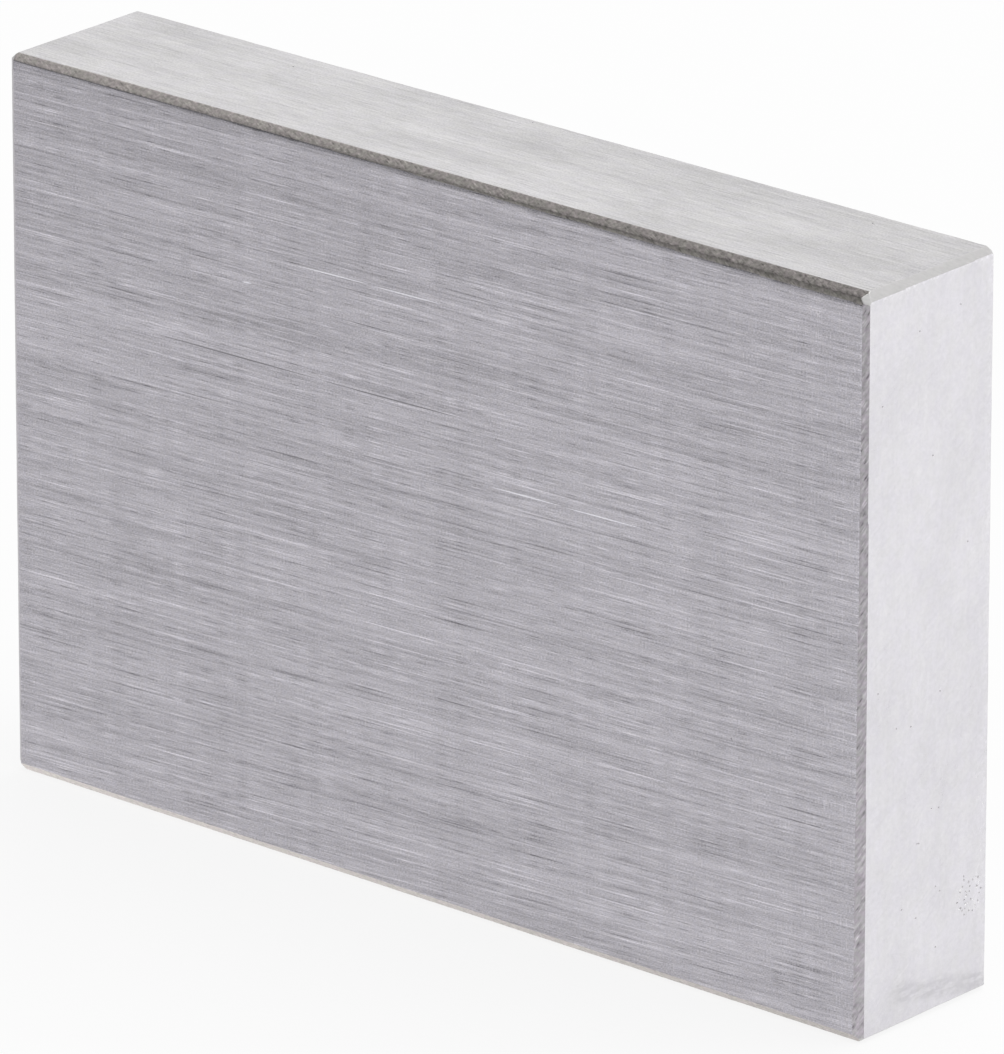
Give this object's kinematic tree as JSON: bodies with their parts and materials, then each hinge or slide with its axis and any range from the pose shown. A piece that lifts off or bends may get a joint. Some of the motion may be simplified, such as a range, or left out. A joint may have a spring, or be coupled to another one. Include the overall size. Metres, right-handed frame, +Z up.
{
  "type": "gauge block",
  "caption": "Rectangular steel gauge block standing on its long narrow side, with lapped gauging faces at its ends and hand-stoned bevels along all its edges.",
  "frame": {"origin": "middle of the long narrow side that the block stands on", "axes": "+X along the gauged length, from the left gauging face to the right one; +Y through the thickness, from the front broad side to the back one; +Z up the face height"},
  "size_m": [0.0508, 0.009, 0.035],
  "materials": {
    "ground_steel": "hardened steel, broad and narrow sides ground with a lay along the length, gauging faces lapped, bevels stoned by hand"
  },
  "bodies": {
    "root": {"gauge_block": "ground_steel"}
  },
  "joints": []
}
